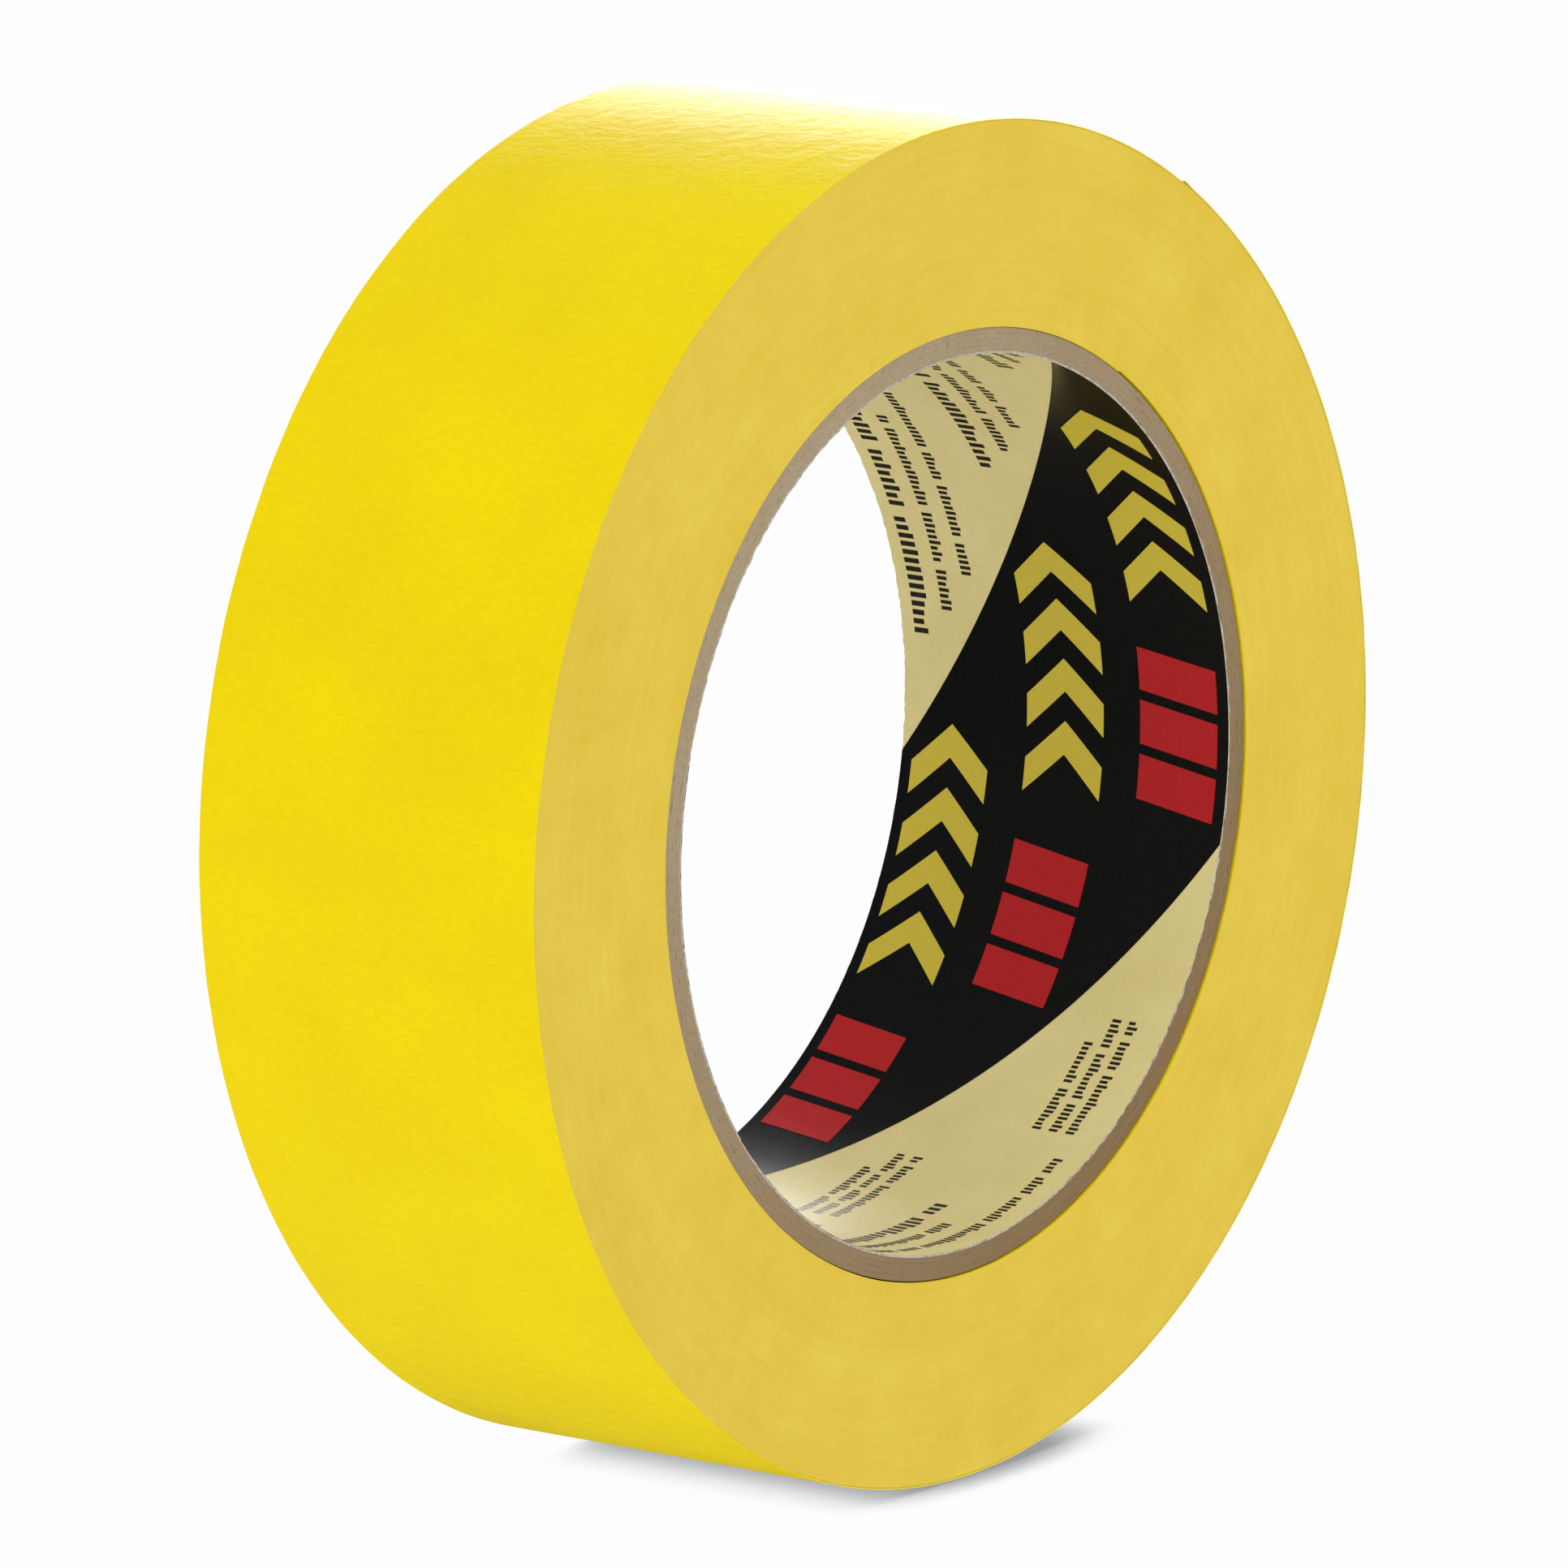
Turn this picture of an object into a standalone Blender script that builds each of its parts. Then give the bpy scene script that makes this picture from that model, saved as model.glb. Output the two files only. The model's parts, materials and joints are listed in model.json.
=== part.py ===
"""Masking tape roll: one strip of creped paper tape wound on a spiral-wound paperboard core.

The roll stands on edge. Its axis is +Y, the origin is the centre of the bore at half the width, and
angles are measured from +X towards +Z. The core is a printed liner under four board plies, each a strip
wound in a helix with its own butt seam. The tape is a solid of the inner laps, then the top lap, then
the free tail, which lifts off as a chain of short links. The top lap and the tail are built as the two
layers of the tape, a paper backing over an adhesive.
"""

import math

import bmesh
import bpy

# Driving dimensions, in metres and degrees.
WIDTH = 0.0355
BORE_RADIUS = 0.0385
OUTER_RADIUS = 0.0586
CORE_RECESS = 0.0002  # how far each end of the core stands inside the tape's faces

# Core: a liner and board plies, with a glue line between one and the next.
LINER_THICKNESS = 0.0002
PLY_THICKNESS = 0.00048
PLY_COUNT = 4
GLUE_LINE = 0.00002
SEAM_GAP = 0.0005
HELIX_ANGLE = 33.5  # between a strip's edge and the rim of the core
LINER_SEAM = 165.0  # where the liner's seam crosses half the width
PLY_SEAM_STEP = 82.5  # from one ply's seam to the next, so that no two seams line up

# Tape: the layers of one lap.
BACKING_THICKNESS = 0.00010
ADHESIVE_THICKNESS = 0.00003
BOND_GAP = 0.00001
LAP_PITCH = BACKING_THICKNESS + ADHESIVE_THICKNESS + 2 * BOND_GAP

# Tail: the free end of the tape, on the side that faces +X.
FACETS = 96  # flat faces round every cylinder, shared so that nested pieces keep an even gap
FACET = 360.0 / FACETS
TAIL_TIP = 15 * FACET
TAIL_LINKS = 6
LINK_FACETS = 2
LINK_ARC = LINK_FACETS * FACET
LINK_GAP = 0.0001
PEEL_LINE = 360.0 - TAIL_LINKS * LINK_ARC  # in degrees round the top lap, from under the tip

CORE_LENGTH = WIDTH - 2 * CORE_RECESS
CORE_OUTER_RADIUS = BORE_RADIUS + LINER_THICKNESS + PLY_COUNT * (GLUE_LINE + PLY_THICKNESS)

# How far a seam turns about the axis on its way from the front end of the core to the back.
SEAM_TWIST = -math.degrees(CORE_LENGTH / math.tan(math.radians(HELIX_ANGLE)) / BORE_RADIUS)


def new_collection(name):
    collection = bpy.data.collections.new(name)
    bpy.context.scene.collection.children.link(collection)
    return collection


def new_material(name, colour, roughness):
    material = bpy.data.materials.new(name)
    material.use_nodes = True
    shader = material.node_tree.nodes["Principled BSDF"]
    shader.inputs["Base Color"].default_value = (*colour, 1.0)
    shader.inputs["Roughness"].default_value = roughness
    shader.inputs["Metallic"].default_value = 0.0
    return material


def add_mesh_object(name, mesh, collection, material=None):
    made = bpy.data.objects.new(name, mesh)
    collection.objects.link(made)
    if material is not None:
        mesh.materials.append(material)
    return made


def solidify(made, thickness, offset):
    """Gives an open surface its thickness. Offset 1 grows it along its normals, 0 to both sides."""
    wall = made.modifiers.new("thickness", "SOLIDIFY")
    wall.thickness = thickness
    wall.offset = offset
    wall.use_even_offset = True


def bent_grid(name, columns, rows, place):
    """A grid whose points go where place(along, across) says, both from 0 to 1."""
    shape = bmesh.new()
    bmesh.ops.create_grid(shape, x_segments=columns, y_segments=rows, size=0.5)
    for vertex in shape.verts:
        vertex.co = place(vertex.co.x + 0.5, vertex.co.y + 0.5)
    mesh = bpy.data.meshes.new(name)
    shape.to_mesh(mesh)
    shape.free()
    return mesh


def on_cylinder(radius, degrees, y):
    angle = math.radians(degrees)
    return (radius * math.cos(angle), y, radius * math.sin(angle))


def seam_cutter(name, inner_radius, outer_radius, middle_angle):
    """A thin helical wall through a ply, longer and deeper than the ply on every side."""
    depth_margin = 0.0005
    end_margin = 0.1  # as a share of the core's length
    span = 1 + 2 * end_margin

    def place(along, across):
        share = (along - 0.5) * span
        radius = inner_radius - depth_margin + across * (outer_radius - inner_radius + 2 * depth_margin)
        return on_cylinder(radius, middle_angle + SEAM_TWIST * share, CORE_LENGTH * share)

    mesh = bent_grid(name, 24, 1, place)
    cutter = add_mesh_object(name, mesh, cutters)
    solidify(cutter, SEAM_GAP, 0)
    cutter.hide_render = True
    cutter.display_type = "WIRE"
    return cutter


def core_layer(name, inner_radius, thickness, seam_angle, material):
    """One ply of the core: a tube, turned from its wall's rectangle, with a helical butt seam."""
    outer_radius = inner_radius + thickness
    half = CORE_LENGTH / 2
    corners = ((outer_radius, half), (outer_radius, -half), (inner_radius, -half), (inner_radius, half))
    profile = bmesh.new()
    points = [profile.verts.new((radius, 0, height)) for radius, height in corners]
    for index, point in enumerate(points):
        profile.edges.new((point, points[(index + 1) % len(points)]))
    mesh = bpy.data.meshes.new(name)
    profile.to_mesh(mesh)
    profile.free()

    ply = add_mesh_object(name, mesh, roll_parts, material)
    ply.rotation_euler.x = math.radians(-90)
    turn = ply.modifiers.new("turn", "SCREW")
    turn.steps = FACETS
    turn.render_steps = FACETS
    turn.use_merge_vertices = True
    turn.merge_threshold = 0.000001
    turn.use_smooth_shade = False
    cut = ply.modifiers.new("seam", "BOOLEAN")
    cut.operation = "DIFFERENCE"
    cut.solver = "EXACT"
    cut.object = seam_cutter(name + "_seam", inner_radius, outer_radius, seam_angle)
    return ply


def lap_floor(round_angle):
    """Radius of the surface that the top lap lies on, this many degrees on from under the tip."""
    return OUTER_RADIUS - 2 * LAP_PITCH + LAP_PITCH * round_angle / 360.0


def wound_laps(name, material):
    """Every lap under the top one, as one body: a spiral outline with a step one tape thick."""
    outline = bpy.data.curves.new(name, "CURVE")
    outline.dimensions = "2D"
    outline.fill_mode = "BOTH"
    outline.extrude = WIDTH / 2
    hole_radius = CORE_OUTER_RADIUS + GLUE_LINE
    turns = range(FACETS)
    outer = [(lap_floor(index * FACET), TAIL_TIP + index * FACET) for index in range(FACETS + 1)]
    inner = [(hole_radius, TAIL_TIP + index * FACET) for index in turns]
    for ring in (outer, inner):
        spline = outline.splines.new("POLY")
        spline.points.add(len(ring) - 1)
        spline.use_cyclic_u = True
        for point, (radius, degrees) in zip(spline.points, ring):
            angle = math.radians(degrees)
            point.co = (radius * math.cos(angle), radius * math.sin(angle), 0, 1)
    body = bpy.data.objects.new(name, outline)
    roll_parts.objects.link(body)
    body.rotation_euler.x = math.radians(90)
    outline.materials.append(material)
    return body


def tape_layer(name, start, end, floor_offset, thickness, material):
    """A layer of the top lap from start to end degrees round it, open by half a gap at each end."""
    end_gap = math.degrees(LINK_GAP / 2 / OUTER_RADIUS)
    facets = round((end - start) / FACET)

    def place(along, across):
        round_angle = start + (end - start) * along
        if along == 0:
            round_angle += end_gap
        if along == 1:
            round_angle -= end_gap
        radius = lap_floor(round_angle) + floor_offset
        return on_cylinder(radius, TAIL_TIP + round_angle, WIDTH * (0.5 - across))

    mesh = bent_grid(name, facets, 1, place)
    layer = add_mesh_object(name, mesh, roll_parts, material)
    solidify(layer, thickness, 1)
    return layer


def tape_strip(name, start, end):
    """Both layers of the tape: the adhesive against the lap below, and the backing over it."""
    adhesive = tape_layer(name + "_adhesive", start, end, BOND_GAP, ADHESIVE_THICKNESS, adhesive_coat)
    backing_floor = 2 * BOND_GAP + ADHESIVE_THICKNESS
    backing = tape_layer(name + "_backing", start, end, backing_floor, BACKING_THICKNESS, crepe_paper)
    return adhesive, backing


def hinge_at(name, round_angle, parent):
    """An empty on the line where a tail link bends, on the tape's outer face."""
    hinge = bpy.data.objects.new(name, None)
    roll_parts.objects.link(hinge)
    hinge.empty_display_size = LINK_GAP * 20
    hinge.location = on_cylinder(lap_floor(round_angle) + LAP_PITCH, TAIL_TIP + round_angle, 0)
    bpy.context.view_layer.update()
    if parent is not None:
        keep_place_under(parent, hinge)
    return hinge


def keep_place_under(parent, child):
    child.parent = parent
    child.matrix_parent_inverse = parent.matrix_world.inverted()
    bpy.context.view_layer.update()


def apply_modifiers(made):
    """Turns the modifiers into mesh, shaded smooth round the cylinders and sharp at the edges."""
    evaluated = made.evaluated_get(bpy.context.evaluated_depsgraph_get())
    mesh = bpy.data.meshes.new_from_object(evaluated)
    mesh.shade_smooth()
    mesh.set_sharp_from_angle(angle=math.radians(30))
    made.modifiers.clear()
    made.data = mesh


def build_core():
    core_layer("core_liner", BORE_RADIUS, LINER_THICKNESS, LINER_SEAM, printed_paper)
    for index in range(PLY_COUNT):
        inner = BORE_RADIUS + LINER_THICKNESS + GLUE_LINE + index * (PLY_THICKNESS + GLUE_LINE)
        seam = LINER_SEAM + (index + 1) * PLY_SEAM_STEP
        core_layer(f"core_ply_{index + 1}", inner, PLY_THICKNESS, seam, core_board)


def build_tape():
    wound_laps("wound_tape", crepe_paper)
    tape_strip("top_lap", 0, PEEL_LINE)
    hinge = None
    for index in range(TAIL_LINKS):
        start = PEEL_LINE + index * LINK_ARC
        hinge = hinge_at(f"tail_hinge_{index + 1}", start, hinge)
        for layer in tape_strip(f"tail_{index + 1}", start, start + LINK_ARC):
            keep_place_under(hinge, layer)


for old in list(bpy.data.objects):
    bpy.data.objects.remove(old)

roll_parts = new_collection("masking_tape_roll")
cutters = new_collection("cutters")
printed_paper = new_material("printed_paper", (0.62, 0.53, 0.27), 0.45)
core_board = new_material("core_board", (0.33, 0.24, 0.16), 0.9)
crepe_paper = new_material("crepe_paper", (0.87, 0.70, 0.01), 0.55)
adhesive_coat = new_material("adhesive_coat", (0.78, 0.66, 0.28), 0.3)

build_core()
build_tape()
for piece in roll_parts.objects:
    if piece.type == "MESH":
        apply_modifiers(piece)
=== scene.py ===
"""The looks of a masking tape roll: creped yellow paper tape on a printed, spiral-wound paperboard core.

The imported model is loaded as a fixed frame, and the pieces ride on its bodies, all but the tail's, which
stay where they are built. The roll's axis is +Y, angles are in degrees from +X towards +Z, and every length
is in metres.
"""

import json
import math

import bmesh
import bpy
import numpy as np
from mathutils import Matrix, Vector


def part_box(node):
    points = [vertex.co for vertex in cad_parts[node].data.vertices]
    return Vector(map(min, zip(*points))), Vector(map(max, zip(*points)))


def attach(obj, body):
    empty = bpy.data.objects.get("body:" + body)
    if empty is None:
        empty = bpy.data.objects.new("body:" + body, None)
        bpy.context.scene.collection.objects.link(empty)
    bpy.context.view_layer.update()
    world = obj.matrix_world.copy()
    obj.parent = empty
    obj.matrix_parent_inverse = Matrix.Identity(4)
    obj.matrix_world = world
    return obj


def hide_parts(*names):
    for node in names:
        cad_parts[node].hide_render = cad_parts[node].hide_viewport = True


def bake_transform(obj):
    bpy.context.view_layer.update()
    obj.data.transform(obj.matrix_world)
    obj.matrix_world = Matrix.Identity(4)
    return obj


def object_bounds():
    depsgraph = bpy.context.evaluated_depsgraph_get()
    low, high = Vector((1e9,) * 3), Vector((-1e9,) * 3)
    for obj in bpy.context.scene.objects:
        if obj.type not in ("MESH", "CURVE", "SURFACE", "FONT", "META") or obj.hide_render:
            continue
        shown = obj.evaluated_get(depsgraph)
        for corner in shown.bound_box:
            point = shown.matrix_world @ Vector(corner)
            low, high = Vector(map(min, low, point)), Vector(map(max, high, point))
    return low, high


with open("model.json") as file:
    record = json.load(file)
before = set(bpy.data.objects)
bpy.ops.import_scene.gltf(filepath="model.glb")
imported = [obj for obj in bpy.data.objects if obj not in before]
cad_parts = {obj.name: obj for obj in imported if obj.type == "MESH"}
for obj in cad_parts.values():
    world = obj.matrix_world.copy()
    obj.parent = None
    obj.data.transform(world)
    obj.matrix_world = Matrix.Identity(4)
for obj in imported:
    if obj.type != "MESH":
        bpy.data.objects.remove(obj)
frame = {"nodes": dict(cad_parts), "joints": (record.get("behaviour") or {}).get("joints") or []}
cad_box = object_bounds()
MM = 0.001


# ---------------------------------------------------------------- dimensions, mostly read from the frame

def ring_radii(node):
    """Smallest and largest distance of a node's corners from the roll's axis."""
    distances = [math.hypot(corner.co.x, corner.co.z) for corner in frame["nodes"][node].data.vertices]
    return min(distances), max(distances)


def joint_angle(joint):
    """A hinge's place round the roll, in degrees."""
    return math.degrees(math.atan2(joint["pos_m"][2], joint["pos_m"][0]))


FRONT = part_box("wound_tape")[0].y
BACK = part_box("wound_tape")[1].y
CORE_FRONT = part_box("core_liner")[0].y
CORE_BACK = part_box("core_liner")[1].y
LINER_THICKNESS = 0.2 * MM
LINER_RADIUS = ring_radii("core_liner")[1]
BORE_RADIUS = LINER_RADIUS - LINER_THICKNESS
PLIES = sorted(name for name in frame["nodes"] if name.startswith("core_ply"))
CORE_RADIUS = ring_radii(PLIES[-1])[1]
TAPE_INNER_RADIUS, WOUND_RADIUS = ring_radii("wound_tape")
OUTER_RADIUS = max(ring_radii(name)[1] for name in frame["nodes"])

# One lap of tape, and how high its layers lie over the lap below.
LAP_PITCH = OUTER_RADIUS - WOUND_RADIUS
GLUE_FLOOR = 0.01 * MM
GLUE_TOP = 0.04 * MM
PAPER_FLOOR = 0.05 * MM
PAPER_TOP = LAP_PITCH - 0.02 * MM

# Degrees from one column of points to the next. Paper and glue share it.
TAPE_COLUMN = 0.33

# The torn end of the tape: how far it is ragged, how far back that reaches, both in degrees, and its curl.
TORN_DEPTH = 0.45
TORN_REACH = 1.5
TORN_CURL = 0.15 * MM

# Places round the roll, in degrees. The top lap runs from the tail's tip round to the peel line.
HINGES = [joint_angle(joint) for joint in frame["joints"]]
LINK_ARC = HINGES[1] - HINGES[0]
PEEL_LINE = HINGES[0] + 360
TAIL_TIP = HINGES[-1] + LINK_ARC

# The core's strips and its print run in a helix: degrees turned for each metre towards the back.
HELIX_TURN = -2250.0

# The liner's seam, in degrees where it would cross y = 0, the step to each next strip's seam, how wide a seam
# is, and the glue line between two strips.
FIRST_SEAM = 165
SEAM_STEP = 82.5
SEAM_WIDTH = 0.08 * MM
GLUE_LINE = 0.004 * MM

# The print: how thick the ink is, the black band's edges in degrees on the front rim, and the rows of print.
INK = 0.012 * MM
BAND_LEFT = 70.0
BAND_RIGHT = -15.0
FIRST_ROW = CORE_FRONT + 5.3 * MM
ROW_PITCH = 12.25 * MM
ROW_COUNT = 3

# The groups of plain marks on the band: how many marks, the group's middle in degrees on the front rim,
# degrees from one mark to the next, and a mark's width.
CHEVRONS = (4, 45.0, 8.33, 6.6 * MM)
LEANING_BARS = (3, 10.3, 7.14, 5.2 * MM)
MARK_HEIGHT = 8.3 * MM

# The lines of ticks: where each starts in degrees on the front rim, and its place across the row, its height
# and its length in mm.
LONG_LINES = ((72.4, 3.05, 1.8, 28.4), (76.6, 0.05, 1.25, 21.9), (82.1, -2.75, 1.2, 30.8))
SHORT_LINES = ((-47.8, -1.8, 1.1, 13.1), (-47.8, 0, 1.1, 13.1), (-47.8, 1.8, 1.1, 10.6))


# ---------------------------------------------------------------- shapes

# Faces that meet at more than this keep a sharp edge between them.
SHARP_ANGLE = math.radians(50)


def on_cylinder(radius, degrees, y):
    """Points at these radii, angles and places along the axis, as an array of x, y, z."""
    angle = np.radians(degrees)
    radius, angle, y = np.broadcast_arrays(radius, angle, y)
    return np.stack([radius * np.cos(angle), y, radius * np.sin(angle)], axis=-1)


def noise(seed, across, along):
    """Smooth noise between -1 and 1 with one random value for each whole step of its coordinates."""
    cells = 256
    lattice = np.random.default_rng(seed).uniform(-1, 1, (cells, cells))
    across, along = np.broadcast_arrays(across, along)
    cell_a = np.floor(across).astype(int)
    cell_b = np.floor(along).astype(int)
    share_a = across - cell_a
    share_b = along - cell_b
    share_a = share_a * share_a * (3 - 2 * share_a)
    share_b = share_b * share_b * (3 - 2 * share_b)

    def corner(step_a, step_b):
        return lattice[(cell_a + step_a) % cells, (cell_b + step_b) % cells]

    near = corner(0, 0) * (1 - share_a) + corner(1, 0) * share_a
    far = corner(0, 1) * (1 - share_a) + corner(1, 1) * share_a
    return near * (1 - share_b) + far * share_b


def new_piece(name, points, faces, materials, face_materials=None):
    """A mesh object from points and faces, with its place at rest kept for the materials' patterns."""
    mesh = bpy.data.meshes.new(name)
    mesh.from_pydata(points, [], faces)
    for material in materials:
        mesh.materials.append(material)
    if face_materials is not None:
        mesh.polygons.foreach_set("material_index", face_materials)
    shape = bmesh.new()
    shape.from_mesh(mesh)
    bmesh.ops.recalc_face_normals(shape, faces=shape.faces)
    shape.to_mesh(mesh)
    shape.free()
    rest = mesh.attributes.new("rest_place", "FLOAT_VECTOR", "POINT")
    rest.data.foreach_set("vector", np.asarray(points, dtype=np.float32).ravel())
    mesh.shade_smooth()
    mesh.set_sharp_from_angle(angle=SHARP_ANGLE)
    piece = bpy.data.objects.new(name, mesh)
    bpy.context.scene.collection.objects.link(piece)
    return piece


def sheet(name, patches, material, rim_material=None):
    """Closed thin slabs: each patch is the grid of points of its outer face and that of its inner face."""
    points = []
    faces = []
    rim_faces = []
    for outer, inner in patches:
        columns, rows = outer.shape[0], outer.shape[1]
        first = len(points)
        points.extend(outer.reshape(-1, 3).tolist())
        points.extend(inner.reshape(-1, 3).tolist())
        top = first + np.arange(columns * rows).reshape(columns, rows)
        under = top + columns * rows
        faces.extend(grid_faces(top))
        faces.extend(grid_faces(under[:, ::-1]))
        rim = [top[:, 0], top[-1, :], top[::-1, -1], top[0, ::-1]]
        rim_under = [under[:, 0], under[-1, :], under[::-1, -1], under[0, ::-1]]
        for upper, lower in zip(rim, rim_under):
            rim_faces.extend(grid_faces(np.stack([lower, upper], axis=1)))
    if rim_material is None:
        return new_piece(name, points, faces + rim_faces, [material])
    slots = np.repeat(np.array([0, 1], dtype=np.int32), (len(faces), len(rim_faces)))
    return new_piece(name, points, faces + rim_faces, [material, rim_material], slots)


def grid_faces(index):
    """Four-sided faces over a grid of point numbers."""
    corners = [index[:-1, :-1], index[1:, :-1], index[1:, 1:], index[:-1, 1:]]
    return np.stack(corners, axis=-1).reshape(-1, 4).tolist()


# ---------------------------------------------------------------- tape

def lap_floor(degrees):
    """Radius of the surface under the top lap, which rises by one lap in the turn from tip to tip."""
    return WOUND_RADIUS - LAP_PITCH + LAP_PITCH * (degrees - TAIL_TIP) / 360


def crepe(degrees, y):
    """Height of the tape's creped outer face over its even surface."""
    run = np.radians(degrees) * OUTER_RADIUS
    ripples = 0.005 * MM * noise(1, run / (1.3 * MM), y / (2.0 * MM))
    folds = 0.009 * MM * noise(2, run / (2.6 * MM), y / (3.2 * MM))
    swells = 0.02 * MM * noise(3, run / (9.0 * MM), y / (7.0 * MM))
    bands = 0.006 * MM * noise(4, y / (2.2 * MM), 0.5)
    return ripples + folds + swells + bands


def tape_grid(start, end, rows, height, torn=0.0, creped=1.0):
    """Grid of points on the tape, height over the lap below, from start to end degrees.

    A torn end is ragged and curls up a little.
    """
    columns = max(2, round((end - start) / TAPE_COLUMN))
    degrees = np.linspace(start, end, columns + 1)[:, None]
    share = np.linspace(0, 1, rows + 1)[None, :]
    wander = 0.03 * MM * noise(5, degrees / 1.5, 0.5)
    y = FRONT + (BACK - FRONT) * share + wander
    near_end = torn * np.clip((degrees - end) / TORN_REACH + 1, 0, 1)
    curl = TORN_CURL * near_end**2
    degrees = degrees + TORN_DEPTH * near_end * noise(6, y / (1.1 * MM), 0.5)
    bump = creped * crepe(degrees, y)
    return on_cylinder(lap_floor(degrees) + height + bump + curl, degrees, y)


def tape_paper(name, start, end, torn=0.0):
    """The creped paper layer, with the last points of a torn end marked as frayed."""
    rows = 45
    outer = tape_grid(start, end, rows, PAPER_TOP, torn)
    inner = tape_grid(start, end, rows, PAPER_FLOOR, torn, creped=0.0)
    piece = sheet(name, [(outer, inner)], crepe_paper)
    frayed = np.zeros((2, *outer.shape[:2]), dtype=np.float32)
    frayed[:, -1] = torn
    mark = piece.data.attributes.new("frayed", "FLOAT", "POINT")
    mark.data.foreach_set("value", frayed.ravel())
    return piece


def tape_glue(name, start, end, torn=0.0):
    """The adhesive layer under the paper."""
    rows = 3
    outer = tape_grid(start, end, rows, GLUE_TOP, torn, creped=0.0)
    inner = tape_grid(start, end, rows, GLUE_FLOOR, torn, creped=0.0)
    return sheet(name, [(outer, inner)], adhesive_coat)


def stands_for(node):
    """Hides the plain solid that a piece stands in for."""
    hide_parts(node)


def build_top_lap():
    """The turn of tape from the torn tip round to the peel line, which stays on the roll."""
    paper = tape_paper("top_lap_paper", TAIL_TIP, PEEL_LINE)
    glue = tape_glue("top_lap_glue", TAIL_TIP, PEEL_LINE)
    stands_for("top_lap_backing")
    stands_for("top_lap_adhesive")
    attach(paper, "roll")
    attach(glue, "roll")


def build_tail():
    """The free end, cut at the middle of each link, so that each piece lies over one hinge. The pieces stay
    where built.
    """
    gap = math.degrees(0.01 * MM / OUTER_RADIUS)
    start = HINGES[0]
    for index, hinge in enumerate(HINGES):
        number = index + 1
        last = number == len(HINGES)
        bend_end = hinge + LINK_ARC / 2
        end = TAIL_TIP if last else bend_end
        torn = 1.0 if last else 0.0
        turns = (start + 360, end + 360 - gap)
        paper = tape_paper(f"tail_{number}_paper", *turns, torn)
        glue = tape_glue(f"tail_{number}_glue", *turns, torn)
        stands_for(f"tail_{number}_backing")
        stands_for(f"tail_{number}_adhesive")
        bend = [Vector(on_cylinder(OUTER_RADIUS, degrees, 0.0)) for degrees in (start, bend_end)]
        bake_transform(paper)
        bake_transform(glue)
        start = bend_end


def build_wound_laps():
    """Every lap under the top one. Each lap's slit edge is a ridge that spirals round both faces."""
    start_radius = TAPE_INNER_RADIUS + 0.02 * MM
    depth = WOUND_RADIUS - LAP_PITCH - start_radius
    laps = round(depth / LAP_PITCH)
    pitch = depth / laps
    rows = 2 * laps
    columns = 192

    # Point numbers of one face: a turn further on, a row has become the row two further out.
    index = np.arange((rows + 1) * columns).reshape(rows + 1, columns)
    count = index.size
    step = np.array([count, count + 1])
    first_column = np.concatenate([index[:, 0], step])
    index = np.concatenate([index, first_column[2:, None]], axis=1)

    row = np.repeat(np.arange(rows + 1), columns)
    column = np.tile(np.arange(columns), rows + 1)
    row = np.concatenate([row, [rows + 1, rows + 2]])
    column = np.concatenate([column, [0, 0]])
    lap = row / 2 + column / columns
    degrees = TAIL_TIP + 360 * column / columns
    radius = start_radius + pitch * lap

    def edge(seed):
        """How far in from the face each point of the slit edges lies."""
        is_valley = row % 2 == 0
        valley = 0.014 * MM * is_valley * (1 + 0.6 * noise(seed, lap * 7, 0.5))
        wander = 0.008 * MM * noise(seed + 1, lap * 3, 0.5)
        rings = 0.006 * MM * noise(seed + 2, radius / (0.38 * MM), 0.5)
        wide_rings = 0.012 * MM * noise(seed + 3, radius / (1.7 * MM), 0.5)
        return 0.03 * MM + valley + wander + rings + wide_rings

    front = on_cylinder(radius, degrees, FRONT + edge(20))
    back = on_cylinder(radius, degrees, BACK - edge(40))
    back_index = index + len(front)
    faces = grid_faces(index) + grid_faces(back_index[::-1])
    side_faces = len(faces)
    inner_loop = np.concatenate([index[0], [index[1, 0], index[0, 0]]])
    outer_loop = np.concatenate([index[-1], [step[0], index[-1, 0]]])
    for loop in (inner_loop, outer_loop):
        faces.extend(grid_faces(np.stack([loop, loop + len(front)], axis=1)))
    face_materials = np.zeros(len(faces), dtype=np.int32)
    face_materials[side_faces:] = 1
    points = np.concatenate([front, back]).tolist()
    piece = new_piece("wound_laps", points, faces, [slit_edges, crepe_paper], face_materials)
    stands_for("wound_tape")
    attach(piece, "roll")


# ---------------------------------------------------------------- core

def core_strip(name, inner, outer, seam, columns, rows, roughness, materials):
    """A strip wound in a helix, edge to edge at the seam, with torn or slit ends at the core's rims."""
    share = np.linspace(0, 1, rows + 1)[None, :]
    y = CORE_FRONT + (CORE_BACK - CORE_FRONT) * share
    gap = math.degrees(SEAM_WIDTH / inner)
    run = np.linspace(gap / 2, 360 - gap / 2, columns + 1)[:, None]
    degrees = seam + HELIX_TURN * y + run

    def wall(radius, seed):
        rough_front = roughness * noise(seed, degrees / 0.7, 0.5) * (share == 0)
        rough_back = roughness * noise(seed + 1, degrees / 0.7, 0.5) * (share == 1)
        return on_cylinder(radius, degrees, y - rough_front + rough_back)

    seed = round(inner / MM * 100)
    piece = sheet(name, [(wall(outer, seed), wall(inner, seed + 2))], *materials)
    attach(piece, "roll")
    return piece


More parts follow.
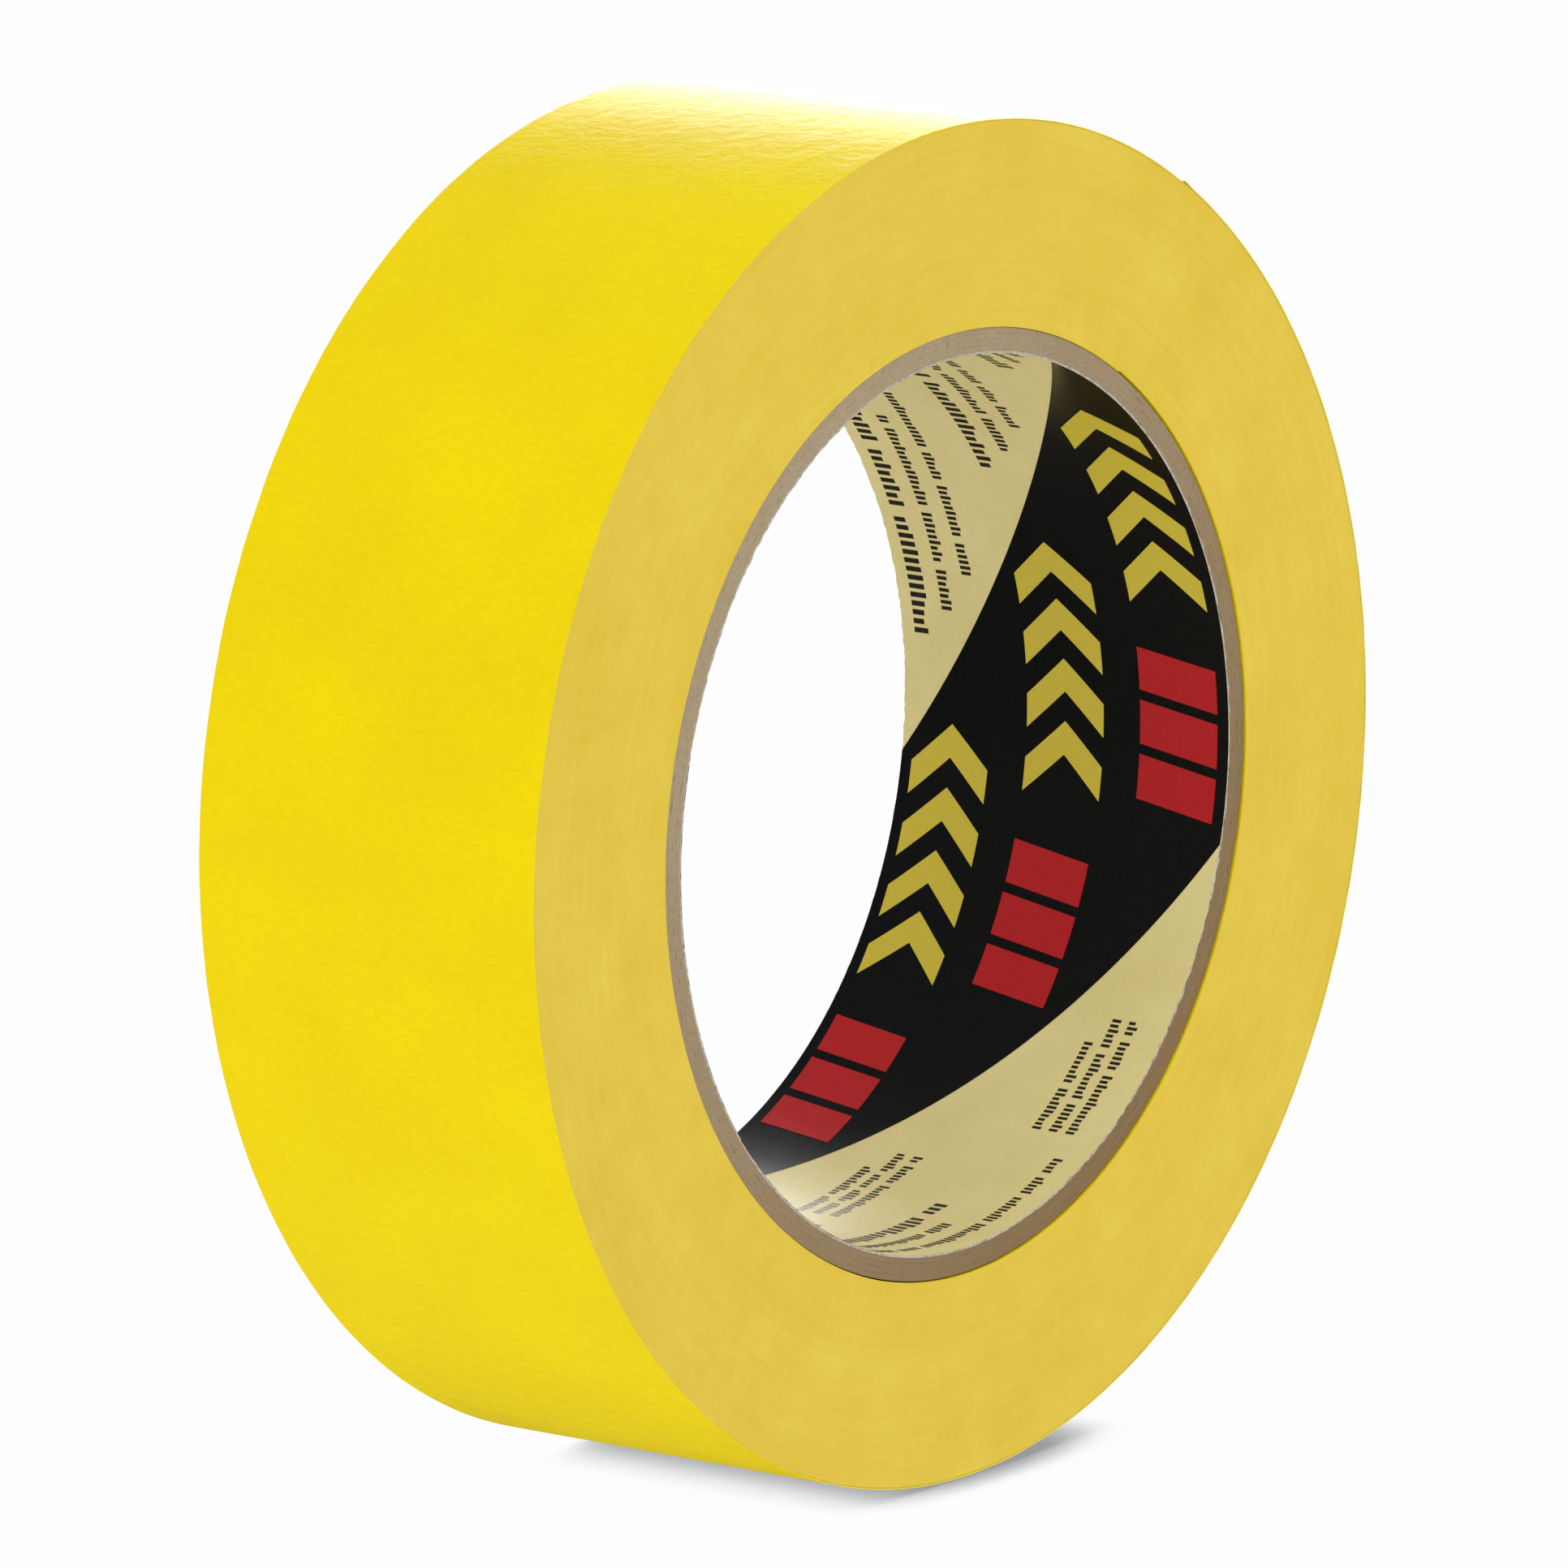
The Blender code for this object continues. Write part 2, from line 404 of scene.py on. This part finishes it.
def build_core():
    """The printed liner with its torn edge, and the board plies round it with their slit edges."""
    torn_by = 0.10 * MM
    slit_by = 0.04 * MM
    papers = (printed_paper, torn_paper)
    liner = core_strip("core_paper_liner", BORE_RADIUS, LINER_RADIUS, FIRST_SEAM, 720, 64, torn_by, papers)
    stands_for("core_liner")
    pitch = (CORE_RADIUS - LINER_RADIUS) / len(PLIES)
    for number, node in enumerate(PLIES, start=1):
        outer = LINER_RADIUS + pitch * number
        inner = outer - pitch + GLUE_LINE
        seam = FIRST_SEAM + SEAM_STEP * number
        ply = core_strip(f"core_board_{number}", inner, outer, seam, 480, 48, slit_by, (core_board,))
        stands_for(node)


# ---------------------------------------------------------------- print on the liner

def ink_patch(centre, y, width, height, depth, outline):
    """A thin slab of ink on the bore wall. outline(level) gives its left and right edge, level -1 to 1."""
    columns = max(2, math.ceil(width / (0.5 * MM)))
    rows = 2 * max(1, math.ceil(height / (1.0 * MM)))
    level = np.linspace(-1, 1, rows + 1)[None, :]
    left, right = outline(level)
    share = np.linspace(0, 1, columns + 1)[:, None]
    arc = (left + (right - left) * share) * width / 2
    degrees = centre + np.degrees(arc / BORE_RADIUS)
    place_y = y + level * height / 2
    outer = on_cylinder(BORE_RADIUS - depth, degrees, place_y)
    inner = on_cylinder(BORE_RADIUS - depth - INK, degrees, place_y)
    return outer, inner


def bar(level):
    """An upright bar over its whole width."""
    return -1 + 0 * level, 1 + 0 * level


def leaning_bar(level):
    """A bar that leans by what its stroke leaves of its width."""
    stroke = 1.5
    left = -1 + (2 - stroke) * (1 + level) / 2
    return left, left + stroke


def chevron(level):
    """An arrowhead of even stroke that points right."""
    stroke = 0.9
    right = 1 - (2 - stroke) * np.abs(level)
    return right - stroke, right


def on_helix(turn, y):
    """The angle at y of a line on the strip that starts at this angle on the front rim."""
    return turn + HELIX_TURN * (y - CORE_FRONT)


def marks(turn, y, outline, count, middle, step, width):
    """A group of equal marks across the black band."""
    patches = []
    for place in range(count):
        steps_from_middle = (count - 1) / 2 - place
        centre = on_helix(turn + middle + step * steps_from_middle, y)
        patches.append(ink_patch(centre, y, width, MARK_HEIGHT, 3 * INK, outline))
    return patches


def build_print():
    """A black band in a helix with plain marks on it, and rows of ticks where small print would be."""
    black, red, yellow, ticks = [], [], [], []
    rng = np.random.default_rng(7)
    y = np.linspace(CORE_FRONT, CORE_BACK, 49)[None, :]
    across = np.linspace(BAND_RIGHT, BAND_LEFT, 121)[:, None]
    for turn in (0, 180):
        degrees = on_helix(turn + across, y)
        black.append([on_cylinder(BORE_RADIUS - depth, degrees, y) for depth in (INK, 2 * INK)])
        for row in range(ROW_COUNT):
            row_y = FIRST_ROW + ROW_PITCH * row
            yellow.extend(marks(turn, row_y, chevron, *CHEVRONS))
            red.extend(marks(turn, row_y, leaning_bar, *LEANING_BARS))
            for start, offset, height, length in LONG_LINES + SHORT_LINES:
                tick_y = row_y + offset * MM
                line_of_ticks(ticks, rng, on_helix(turn + start, row_y), tick_y, height * MM, length * MM)

    for name, patches, material in (
        ("print_black", black, black_ink),
        ("print_red", red, red_ink),
        ("print_yellow", yellow, yellow_ink),
        ("print_ticks", ticks, faded_ink),
    ):
        piece = sheet(name, patches, material)
        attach(piece, "roll")


def line_of_ticks(patches, rng, start, y, height, length):
    """Short ticks in groups of uneven length, from the start towards rising angles."""
    pitch = 0.46 * height
    tick_width = 0.58 * pitch
    space = 1.1 * pitch
    reach = 0.0
    left_in_group = 0
    while reach < length:
        if left_in_group == 0:
            left_in_group = int(rng.integers(5, 17))
            reach += space
        tall = rng.uniform(0.6, 1.0) * height
        centre = start + math.degrees((reach + pitch / 2) / BORE_RADIUS)
        patches.append(ink_patch(centre, y + (height - tall) / 2, tick_width, tall, INK, bar))
        reach += pitch
        left_in_group -= 1


# ---------------------------------------------------------------- materials

def add_node(tree, kind, inputs, **settings):
    """A shader node. Each input is a value or the output that feeds it; the node's first output returns."""
    made = tree.nodes.new(kind)
    for name, value in settings.items():
        setattr(made, name, value)
    for key, value in inputs.items():
        if isinstance(value, bpy.types.NodeSocket):
            tree.links.new(value, made.inputs[key])
        else:
            made.inputs[key].default_value = value
    return made.outputs[0]


def vector_math(tree, operation, first, second=(0, 0, 0)):
    """A sum or product of two vectors, or a length or dot product, which is a single number."""
    made = tree.nodes.new("ShaderNodeVectorMath")
    made.operation = operation
    for slot, value in enumerate((first, second)):
        if isinstance(value, bpy.types.NodeSocket):
            tree.links.new(value, made.inputs[slot])
        else:
            made.inputs[slot].default_value = value
    return made.outputs["Value" if operation in ("LENGTH", "DOT_PRODUCT") else "Vector"]


def number_math(tree, operation, *values):
    return add_node(tree, "ShaderNodeMath", dict(enumerate(values)), operation=operation)


def attribute(tree, name, output):
    """What a mesh attribute holds at a point."""
    made = tree.nodes.new("ShaderNodeAttribute")
    made.attribute_name = name
    return made.outputs[output]


def rest_place(tree, scale):
    """Where a point is at rest, times a scale for each axis."""
    return vector_math(tree, "MULTIPLY", attribute(tree, "rest_place", "Vector"), scale)


def rest_ring(tree, radius_scale, angle_scale):
    """Coordinates for rings about the axis: the distance from it, and the direction to it."""
    flat = rest_place(tree, (1, 0, 1))
    direction = vector_math(tree, "NORMALIZE", flat)
    direction = vector_math(tree, "MULTIPLY", direction, (angle_scale, 0, angle_scale))
    reach = number_math(tree, "MULTIPLY", vector_math(tree, "LENGTH", flat), radius_scale)
    reach = add_node(tree, "ShaderNodeCombineXYZ", {"X": 0.0, "Y": reach, "Z": 0.0})
    return vector_math(tree, "ADD", direction, reach)


def noise_texture(tree, place, detail=2.0, roughness=0.5):
    inputs = {"Vector": place, "Scale": 1.0, "Detail": detail, "Roughness": roughness}
    return add_node(tree, "ShaderNodeTexNoise", inputs)


def grain(tree, scale, detail, roughness=0.5):
    """Noise that is as fine along every axis: scale is in cells for each metre."""
    return noise_texture(tree, rest_place(tree, (scale, scale, scale)), detail, roughness)


def ramp(tree, factor, low, high, low_value, high_value):
    """Turns a factor between low and high into a value between the two given."""
    inputs = {"Value": factor, 1: low, 2: high, 3: low_value, 4: high_value}
    return add_node(tree, "ShaderNodeMapRange", inputs)


def mix_colours(tree, factor, first, second):
    return add_node(tree, "ShaderNodeMixRGB", {"Fac": factor, "Color1": first, "Color2": second})


def blend_in(tree, tint, colour, pattern, low, high, low_share, high_share):
    """Mixes a colour into a tint: low_share of it where the pattern is low, high_share where it is high."""
    return mix_colours(tree, ramp(tree, pattern, low, high, low_share, high_share), tint, colour)


def bump(tree, height, distance):
    return add_node(tree, "ShaderNodeBump", {"Height": height, "Distance": distance, "Strength": 1.0})


def new_material(name):
    material = bpy.data.materials.new(name)
    material.use_nodes = True
    return material, material.node_tree, material.node_tree.nodes["Principled BSDF"]


def feed(tree, shader, **inputs):
    """Sets the shader's inputs, whose names have _ for a space, to values or to outputs that feed them."""
    for key, value in inputs.items():
        socket = shader.inputs[key.replace("_", " ")]
        if isinstance(value, bpy.types.NodeSocket):
            tree.links.new(value, socket)
        else:
            socket.default_value = value


def make_crepe_paper():
    """Yellow creped paper, mottled, with painted shade in its creases, and paler where it is torn."""
    material, tree, shader = new_material("crepe_paper")
    deep = (0.867, 0.668, 0.002, 1)
    pale = (0.908, 0.719, 0.001, 1)
    warm = (0.877, 0.653, 0.003, 1)
    painted_crease_shade = (0.734, 0.52, 0.002, 1)
    torn = (0.93, 0.84, 0.38, 1)
    fine = noise_texture(tree, rest_place(tree, (2600, 1100, 2600)), 4.0, 0.65)
    coarse = noise_texture(tree, rest_place(tree, (260, 130, 260)), 3.0, 0.6)
    patches = noise_texture(tree, rest_place(tree, (70, 60, 70)))
    mottle = noise_texture(tree, rest_place(tree, (620, 560, 620)))
    height = number_math(tree, "MULTIPLY_ADD", mottle, 4.0, fine)
    tint = blend_in(tree, deep, pale, patches, 0.35, 0.65, 0, 1)
    tint = blend_in(tree, tint, warm, coarse, 0.35, 0.7, 0, 0.35)
    # Painted shade: darker where the fine noise, which is also part of the bump, dips into creases.
    tint = blend_in(tree, tint, painted_crease_shade, fine, 0.3, 0.6, 0.3, 0)
    tint = blend_in(tree, tint, torn, attribute(tree, "frayed", "Fac"), 0.1, 0.9, 0, 0.7)
    feed(tree, shader, Base_Color=tint, Roughness=ramp(tree, fine, 0.3, 0.7, 0.31, 0.41))
    feed(tree, shader, Specular_IOR_Level=0.05, Normal=bump(tree, height, 0.027 * MM))
    return material


def make_slit_edges():
    """The laps' slit edges on both faces: matt, in fine rings with painted shade and light, soft clouds and a
    few bright slits.
    """
    material, tree, shader = new_material("slit_edges")
    deep = (0.71, 0.506, 0.0451, 1)
    pale = (0.767, 0.583, 0.0766, 1)
    warm = (0.729, 0.516, 0.0406, 1)
    painted_groove_shade = (0.633, 0.43, 0.0316, 1)
    ridge = (0.842, 0.661, 0.0552, 1)
    bright = (0.863, 0.745, 0.216, 1)
    rings = noise_texture(tree, rest_ring(tree, 1500, 5.0), 3.0, 0.6)
    fine_rings = noise_texture(tree, rest_ring(tree, 3400, 4.0))
    wide_rings = noise_texture(tree, rest_ring(tree, 260, 2.5))
    slits = noise_texture(tree, rest_ring(tree, 260, 60), 2.0, 0.6)
    clouds = grain(tree, 140, 5.0, 0.7)
    fibres = grain(tree, 2400, 3.0, 0.7)
    tint = blend_in(tree, deep, pale, clouds, 0.3, 0.7, 0, 1)
    tint = blend_in(tree, tint, warm, wide_rings, 0.35, 0.65, 0, 0.5)
    # Painted shade in the rings' grooves and painted light on their ridges, following the rings that also
    # make the bump. The fine rings get the painted groove shade as well.
    tint = blend_in(tree, tint, painted_groove_shade, rings, 0.30, 0.50, 0.13, 0)
    tint = blend_in(tree, tint, ridge, rings, 0.55, 0.72, 0, 0.16)
    tint = blend_in(tree, tint, painted_groove_shade, fine_rings, 0.32, 0.48, 0.12, 0)
    tint = blend_in(tree, tint, bright, slits, 0.55, 0.8, 0, 0.08)
    height = number_math(tree, "ADD", rings, fibres)
    feed(tree, shader, Base_Color=tint, Roughness=0.75, Specular_IOR_Level=0.2)
    feed(tree, shader, Normal=bump(tree, height, 0.03 * MM))
    return material


def make_adhesive():
    """The glossy rubber adhesive, a little thicker in some places than in others."""
    material, tree, shader = new_material("adhesive_coat")
    thick = (0.72, 0.56, 0.12, 1)
    thin = (0.82, 0.68, 0.22, 1)
    blotches = noise_texture(tree, rest_place(tree, (500, 200, 500)), 4.0, 0.6)
    tint = blend_in(tree, thick, thin, blotches, 0.3, 0.7, 0, 1)
    feed(tree, shader, Base_Color=tint, Roughness=ramp(tree, blotches, 0.3, 0.7, 0.18, 0.32))
    feed(tree, shader, Normal=bump(tree, blotches, 0.02 * MM))
    return material


def make_core_board():
    """Dense paperboard with loose fibres and thin layers. Painted light makes it paler towards -X and up."""
    material, tree, shader = new_material("core_board")
    brown = (0.243, 0.154, 0.0678, 1)
    grey = (0.416, 0.327, 0.21, 1)
    dark = (0.199, 0.136, 0.073, 1)
    light = (0.408, 0.317, 0.212, 1)
    fibres = grain(tree, 2600, 4.0, 0.7)
    clouds = grain(tree, 160, 3.0, 0.6)
    layers = noise_texture(tree, rest_ring(tree, 5200, 4.0))
    # Painted light: the board is paler towards -X and up, and darker towards +X and down.
    towards_painted_light = vector_math(tree, "DOT_PRODUCT", rest_place(tree, (-0.64, 0, 0.77)), (1, 0, 1))
    tint = blend_in(tree, brown, grey, towards_painted_light, -CORE_RADIUS, 0.9 * CORE_RADIUS, 0, 1)
    tint = blend_in(tree, tint, dark, clouds, 0.3, 0.7, 0.15, 0)
    tint = blend_in(tree, tint, dark, fibres, 0.35, 0.6, 0.25, 0)
    tint = blend_in(tree, tint, light, layers, 0.5, 0.8, 0, 0.2)
    feed(tree, shader, Base_Color=tint, Roughness=0.92, Specular_IOR_Level=0.15)
    feed(tree, shader, Normal=bump(tree, fibres, 0.08 * MM))
    return material


def make_printed_paper():
    """The liner's smooth cream paper, with a soft sheen."""
    material, tree, shader = new_material("printed_paper")
    deep = (0.79, 0.675, 0.285, 1)
    pale = (0.85, 0.75, 0.34, 1)
    fibre = (0.62, 0.515, 0.218, 1)
    fibres = grain(tree, 1500, 4.0, 0.6)
    clouds = grain(tree, 120, 3.0, 0.6)
    tint = blend_in(tree, deep, pale, clouds, 0.3, 0.7, 0, 1)
    tint = blend_in(tree, tint, fibre, fibres, 0.4, 0.7, 0.15, 0)
    feed(tree, shader, Base_Color=tint, Roughness=0.42, Specular_IOR_Level=0.5)
    feed(tree, shader, Normal=bump(tree, fibres, 0.01 * MM))
    return material


def make_torn_paper():
    """The inside of the liner's paper, bare where its edge is torn."""
    material, tree, shader = new_material("torn_paper")
    shade = (0.30, 0.25, 0.19, 1)
    pale = (0.60, 0.56, 0.49, 1)
    fibres = grain(tree, 3000, 3.0, 0.7)
    tint = blend_in(tree, shade, pale, fibres, 0.3, 0.7, 0, 1)
    feed(tree, shader, Base_Color=tint, Roughness=0.9, Specular_IOR_Level=0.2)
    feed(tree, shader, Normal=bump(tree, fibres, 0.05 * MM))
    return material


def make_ink(name, colour, worn):
    """Satin ink that is thin in small specks."""
    material, tree, shader = new_material(name)
    specks = grain(tree, 1800, 4.0, 0.65)
    tint = blend_in(tree, colour, worn, specks, 0.45, 0.75, 0, 0.5)
    feed(tree, shader, Base_Color=tint, Roughness=ramp(tree, specks, 0.3, 0.7, 0.28, 0.36))
    feed(tree, shader, Specular_IOR_Level=0.4, Normal=bump(tree, specks, 0.003 * MM))
    return material


crepe_paper = make_crepe_paper()
slit_edges = make_slit_edges()
adhesive_coat = make_adhesive()
core_board = make_core_board()
printed_paper = make_printed_paper()
torn_paper = make_torn_paper()
black_ink = make_ink("black_ink", (0.0035, 0.004, 0.0045, 1), (0.009, 0.01, 0.011, 1))
faded_ink = make_ink("faded_ink", (0.02, 0.018, 0.01, 1), (0.06, 0.054, 0.03, 1))
red_ink = make_ink("red_ink", (0.50, 0.005, 0.008, 1), (0.54, 0.015, 0.018, 1))
yellow_ink = make_ink("yellow_ink", (0.66, 0.53, 0.04, 1), (0.58, 0.46, 0.06, 1))


# ---------------------------------------------------------------- floor, light and camera

WHITE = (0.985, 0.985, 0.985, 1)
SHADOW = (0.32, 0.325, 0.33, 1)

# How bright the world and the floor are as they light the roll, and as the roll's glossy faces reflect them.
WORLD_LIGHT = 0.81
WORLD_GLOSS = 0.1
FLOOR_LIGHT = 1.03
FLOOR_GLOSS = 0.06

# The panels' power in watts, how far off they stand and how wide they are.
LEFT_POWER = 1.6
RIGHT_POWER = 2.5
FRONT_POWER = 1.3
HIGH_POWER = 0.6
SHEEN_POWER = 10.0
PANEL_DISTANCE = 1.0
PANEL_WIDTH = 0.7


def studio_strength(tree, reflected, lighting):
    """How bright a surround is: 1 to the camera, and as given in reflections and as it lights the roll.

    A mix node's inputs 0, 2 and 3 are its factor, its first number and its second.
    """
    paths = tree.nodes.new("ShaderNodeLightPath")
    glossy = add_node(tree, "ShaderNodeMix", {0: paths.outputs["Is Glossy Ray"], 2: lighting, 3: reflected})
    return add_node(tree, "ShaderNodeMix", {0: paths.outputs["Is Camera Ray"], 2: glossy, 3: 1.0})


def make_floor_material():
    """White, with a soft painted grey shadow only where the roll stands close over it. The light it gives
    stays white.
    """
    material = bpy.data.materials.new("floor")
    material.use_nodes = True
    tree = material.node_tree
    tree.nodes.clear()
    near = tree.nodes.new("ShaderNodeAmbientOcclusion")
    near.samples = 16
    near.inputs["Distance"].default_value = 0.1 * OUTER_RADIUS

    # Only what stands on this side of a point, where the light comes from, darkens it.
    to_light = add_node(tree, "ShaderNodeCombineXYZ", {"X": -0.87, "Y": 0.5, "Z": 0.0})
    tree.links.new(to_light, near.inputs["Normal"])
    # A painted shadow: the floor's glow turns grey where the roll stands close over it.
    grey = blend_in(tree, SHADOW, WHITE, near.outputs["AO"], 0.64, 0.83, 0, 1)
    paths = tree.nodes.new("ShaderNodeLightPath")
    tint = mix_colours(tree, paths.outputs["Is Diffuse Ray"], grey, WHITE)
    strength = studio_strength(tree, FLOOR_GLOSS, FLOOR_LIGHT)
    glow = add_node(tree, "ShaderNodeEmission", {"Color": tint, "Strength": strength})
    output = tree.nodes.new("ShaderNodeOutputMaterial")
    tree.links.new(glow, output.inputs["Surface"])
    material.cycles.emission_sampling = "NONE"
    return material


def build_floor():
    """A wide floor just under the roll."""
    half_width = 60 * OUTER_RADIUS
    height = cad_box[0].z - 0.1 * MM
    mesh = bpy.data.meshes.new("floor")
    sides = ((-1, -1), (1, -1), (1, 1), (-1, 1))
    corners = [(x * half_width, y * half_width, height) for x, y in sides]
    mesh.from_pydata(corners, [], [(0, 1, 2, 3)])
    mesh.materials.append(make_floor_material())
    floor = bpy.data.objects.new("floor", mesh)
    bpy.context.scene.collection.objects.link(floor)


def build_world():
    """A white surround, dimmer in reflections than to the camera."""
    world = bpy.data.worlds.new("studio")
    world.use_nodes = True
    tree = world.node_tree
    background = tree.nodes["Background"]
    background.inputs["Color"].default_value = WHITE
    tree.links.new(studio_strength(tree, WORLD_GLOSS, WORLD_LIGHT), background.inputs["Strength"])
    world.cycles.sampling_method = "NONE"
    bpy.context.scene.world = world


def soft_light(name, azimuth, elevation, power, width=PANEL_WIDTH, height=PANEL_WIDTH, sheen=False):
    """A panel that faces the roll. It lights matt surfaces, or with sheen only shows in glossy ones."""
    light = bpy.data.lights.new(name, "AREA")
    light.shape = "RECTANGLE"
    light.size = width
    light.size_y = height
    light.energy = power
    panel = bpy.data.objects.new(name, light)
    bpy.context.scene.collection.objects.link(panel)
    back = towards(azimuth, elevation)
    panel.location = back * PANEL_DISTANCE
    panel.rotation_euler = back.to_track_quat("Z", "Y").to_euler()
    panel.visible_camera = False
    panel.visible_glossy = sheen
    panel.visible_diffuse = not sheen


def towards(azimuth, elevation):
    """The direction from the roll at this azimuth, 0 in front and 90 on the right, and this elevation."""
    turn = math.radians(azimuth)
    rise = math.radians(elevation)
    return Vector((math.sin(turn) * math.cos(rise), -math.cos(turn) * math.cos(rise), math.sin(rise)))


def build_camera():
    """A long lens, a little above the roll and in front of its left side."""
    azimuth = -52.31
    elevation = 12.0
    roll = math.radians(-0.51)
    distance = 25.27 * OUTER_RADIUS
    shift_right = -0.0175 * OUTER_RADIUS
    shift_up = -0.0053 * OUTER_RADIUS
    back = towards(azimuth, elevation)
    level_right = (-back).cross(Vector((0, 0, 1))).normalized()
    level_up = level_right.cross(-back)
    right = level_right * math.cos(roll) + level_up * math.sin(roll)
    up = level_up * math.cos(roll) - level_right * math.sin(roll)
    place = back * distance + right * shift_right + up * shift_up
    camera = bpy.data.cameras.new("camera")
    camera.lens = 398.6
    camera.clip_start = distance * 0.1
    camera.clip_end = distance * 10
    holder = bpy.data.objects.new("camera", camera)
    bpy.context.scene.collection.objects.link(holder)
    axes = Matrix((right, up, back)).transposed().to_4x4()
    holder.matrix_world = Matrix.Translation(place) @ axes
    bpy.context.scene.camera = holder


def build_stage():
    """The floor, the world, soft panels on all sides, one for the sheen on the roll's top, and the camera."""
    build_floor()
    build_world()
    soft_light("left_panel", -86, 8, LEFT_POWER)
    soft_light("right_panel", 80, 8, RIGHT_POWER)
    soft_light("front_panel", 10, 35, FRONT_POWER)
    soft_light("high_front_panel", -25, 60, HIGH_POWER)
    soft_light("high_back_panel", 155, 60, HIGH_POWER)
    soft_light("sheen_panel", 127, 11, SHEEN_POWER, 1.0, 0.45, sheen=True)
    build_camera()
    bpy.context.scene.view_settings.view_transform = "Standard"


build_wound_laps()
build_top_lap()
build_tail()
build_core()
build_print()
build_stage()
